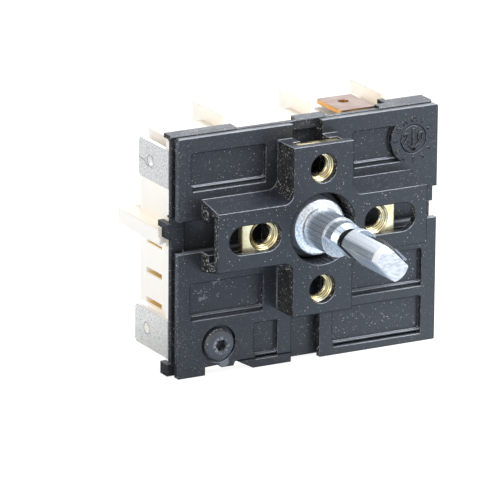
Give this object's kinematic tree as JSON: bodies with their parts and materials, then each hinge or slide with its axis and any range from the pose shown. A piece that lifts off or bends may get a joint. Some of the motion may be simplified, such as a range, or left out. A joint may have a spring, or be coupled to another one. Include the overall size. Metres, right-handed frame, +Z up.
{
  "type": "energy regulator switch",
  "caption": "Rotary energy regulator for a cooker hob: black cross-shaped mounting plate with square nuts, flatted shaft, cream base and push-on tabs.",
  "frame": {"origin": "on the shaft axis, in the plane of the cross that meets the control panel", "axes": "-Y along the shaft out of the panel towards the knob, +Z up, +X to the right seen from the knob"},
  "size_m": [0.0497, 0.0451, 0.0404],
  "materials": {
    "plate_plastic": "glass-filled black plastic with pale flecks and rubbed edges",
    "cover_plastic": "darker black plastic, satin",
    "base_plastic": "cream moulded plastic, dull",
    "cam_plastic": "natural plastic, dull",
    "brass": "bright machined brass",
    "black_steel": "blackened steel, satin",
    "zinc_steel": "bright zinc plate with drawing marks",
    "spring_steel": "bright rolled strip",
    "tinned": "dull tin plate with a spangled grain",
    "copper": "bare copper, slightly pink, with orange sheared edges",
    "bronze": "rolled bronze strip",
    "silver": "silver alloy, satin",
    "bimetal": "rolled bimetal strip, slightly heat tinted",
    "ceramic": "unglazed ceramic"
  },
  "bodies": {
    "housing": {"mounting_plate": "plate_plastic", "inner_cover": "cover_plastic", "base": "base_plastic", "nut_top": "brass", "nut_bottom": "brass", "nut_left": "brass", "nut_right": "brass", "plate_screw": "black_steel", "thrust_washer": "spring_steel", "detent_spring": "spring_steel", "left_top_terminal": "tinned", "left_bottom_terminal": "tinned", "top_terminal": "copper", "right_top_terminal": "tinned", "right_bottom_terminal": "tinned", "upper_fixed_contact": "silver", "side_fixed_contact": "silver", "snap_fixed_contact": "silver", "lever_pin": "zinc_steel"},
    "spindle": {"shaft": "zinc_steel", "grip_spring": "spring_steel", "cam_disc": "cam_plastic", "retaining_clip": "black_steel"},
    "upper_pole": {"upper_blade": "bronze", "upper_lifter": "cam_plastic", "upper_moving_contact": "silver"},
    "side_pole": {"side_blade": "bronze", "side_lifter": "cam_plastic", "side_moving_contact": "silver"},
    "snap_pole": {"snap_blade": "bronze", "snap_spring": "spring_steel", "snap_moving_contact": "silver"},
    "lever": {"follower_lever": "zinc_steel", "calibration_screw": "brass"},
    "bimetal": {"bimetal_strip": "bimetal", "heater_element": "ceramic", "push_pin": "ceramic"}
  },
  "joints": [
    {"name": "shaft_turn", "type": "hinge", "parent": "housing", "child": "spindle", "pos_m": [0, 0, 0], "axis": [0, -1, 0], "continuous": true},
    {"name": "upper_pole_open", "type": "hinge", "parent": "housing", "child": "upper_pole", "pos_m": [-0.015, 0.0128, 0.0095], "axis": [0, 1, 0], "range_deg": [0, 3], "stiffness_Nm_per_rad": 0.02},
    {"name": "side_pole_open", "type": "hinge", "parent": "housing", "child": "side_pole", "pos_m": [0.0091, 0.0128, 0.0065], "axis": [0, 1, 0], "range_deg": [0, 7], "stiffness_Nm_per_rad": 0.02},
    {"name": "snap_pole_open", "type": "hinge", "parent": "housing", "child": "snap_pole", "pos_m": [0.014, 0.0128, -0.0182], "axis": [0, -1, 0], "range_deg": [0, 2], "stiffness_Nm_per_rad": 0.02},
    {"name": "lever_swing", "type": "hinge", "parent": "housing", "child": "lever", "pos_m": [-0.0176, 0.0141, -0.0096], "axis": [0, -1, 0], "range_deg": [0, 3.5], "stiffness_Nm_per_rad": 0.02},
    {"name": "bimetal_bend", "type": "hinge", "parent": "lever", "child": "bimetal", "pos_m": [-0.011, 0.0128, -0.0127], "axis": [0, 1, 0], "range_deg": [0, 2.4], "stiffness_Nm_per_rad": 0.05}
  ]
}
